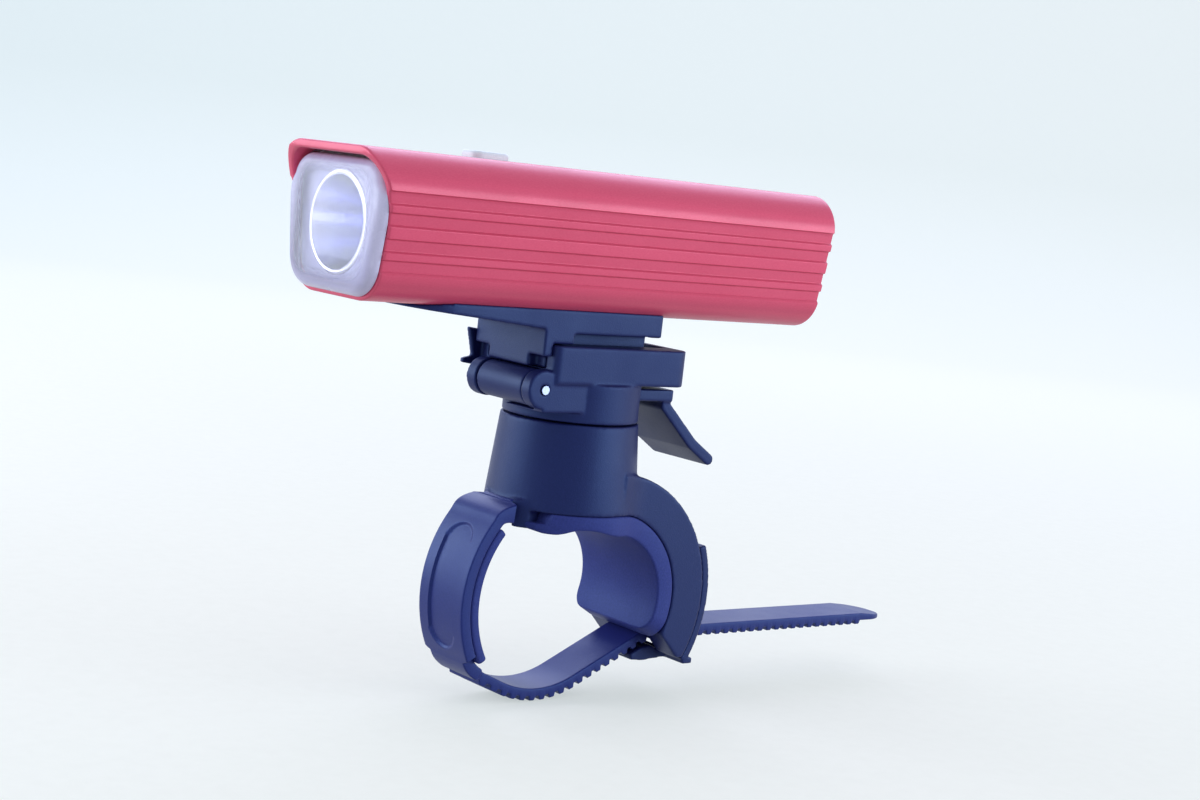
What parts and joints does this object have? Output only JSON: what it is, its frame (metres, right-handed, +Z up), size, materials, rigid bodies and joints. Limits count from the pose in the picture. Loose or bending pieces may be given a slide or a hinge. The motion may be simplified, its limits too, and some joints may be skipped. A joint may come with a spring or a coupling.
{
  "type": "bicycle headlight with handlebar bracket",
  "caption": "Bicycle headlight: grooved aluminium lamp with a visor and clear lens on a slide-off swivel bracket, held to the handlebar by a rubber-lined arm and a toothed strap.",
  "frame": {"origin": "on the handlebar axis, at the middle of the clamp's width", "axes": "+X along the handlebar, +Y backwards towards the rider (the lamp shines towards -Y), +Z up"},
  "size_m": [0.033, 0.1507, 0.1027],
  "materials": {
    "red_anodised": "satin",
    "clear_lens": "clear",
    "seal": "matt",
    "reflector_chrome": "polished",
    "emitter": "gloss",
    "led_board": "white solder mask",
    "carrier": "machined",
    "cell_sleeve": "sleeved",
    "tray_plastic": "moulded",
    "circuit_green": "solder mask",
    "switch_metal": "plain",
    "button_clear": "frosted",
    "cap_plastic": "moulded",
    "cover_rubber": "matt",
    "bracket_plastic": "fine spark texture",
    "strap_plastic": "satin moulded",
    "pad_rubber": "matt",
    "steel": "plain"
  },
  "bodies": {
    "clamp": {"clamp_body": "bracket_plastic", "saddle_pad": "pad_rubber", "strap": "strap_plastic", "strap_pin": "steel", "strap_pad": "pad_rubber", "latch_pin": "steel", "latch_spring": "steel", "swivel_screw": "steel", "swivel_nut": "steel"},
    "head": {"cradle": "bracket_plastic", "lever_pin": "steel", "lever_spring": "steel"},
    "lamp": {"housing": "red_anodised", "front_lens": "clear_lens", "lens_gasket": "seal", "reflector": "reflector_chrome", "led_emitter": "emitter", "led_board": "led_board", "led_carrier": "carrier", "battery_cell": "cell_sleeve", "cell_tray": "tray_plastic", "circuit_board": "circuit_green", "tact_switch": "switch_metal", "usb_socket": "steel", "rear_cap": "cap_plastic", "rear_gasket": "seal", "rear_cap_screws": "steel", "mount_shoe": "bracket_plastic", "shoe_screws": "steel"},
    "button": {"power_button": "button_clear"},
    "port_cover": {"usb_cover": "cover_rubber"},
    "lever": {"release_lever": "bracket_plastic"},
    "latch": {"ratchet_latch": "bracket_plastic"}
  },
  "joints": [
    {"name": "head_swivel", "type": "hinge", "parent": "clamp", "child": "head", "pos_m": [0, -0.0044, 0.0336], "axis": [0, 0, 1], "range_deg": [-20, 20]},
    {"name": "lamp_slide", "type": "slide", "parent": "head", "child": "lamp", "axis": [0, -1, 0], "range_m": [0, 0.028]},
    {"name": "button_press", "type": "slide", "parent": "lamp", "child": "button", "axis": [0, 0, -1], "range_m": [0, 0.0005], "stiffness_N_per_m": 600, "springref_m": -0.001},
    {"name": "cover_hinge", "type": "hinge", "parent": "lamp", "child": "port_cover", "pos_m": [0, 0.0432, 0.0696], "axis": [-1, 0, 0], "range_deg": [0, 100]},
    {"name": "lever_hinge", "type": "hinge", "parent": "head", "child": "lever", "pos_m": [0, -0.0202, 0.0401], "axis": [-1, 0, 0], "range_deg": [0, 4], "stiffness_Nm_per_rad": 0.2, "springref_deg": -8.59, "deforming": ["lever_spring"]},
    {"name": "latch_hinge", "type": "hinge", "parent": "clamp", "child": "latch", "pos_m": [0, 0.02016, 0.00856], "axis": [1, 0, 0], "range_deg": [0, 10], "stiffness_Nm_per_rad": 0.15, "springref_deg": -11.46}
  ]
}
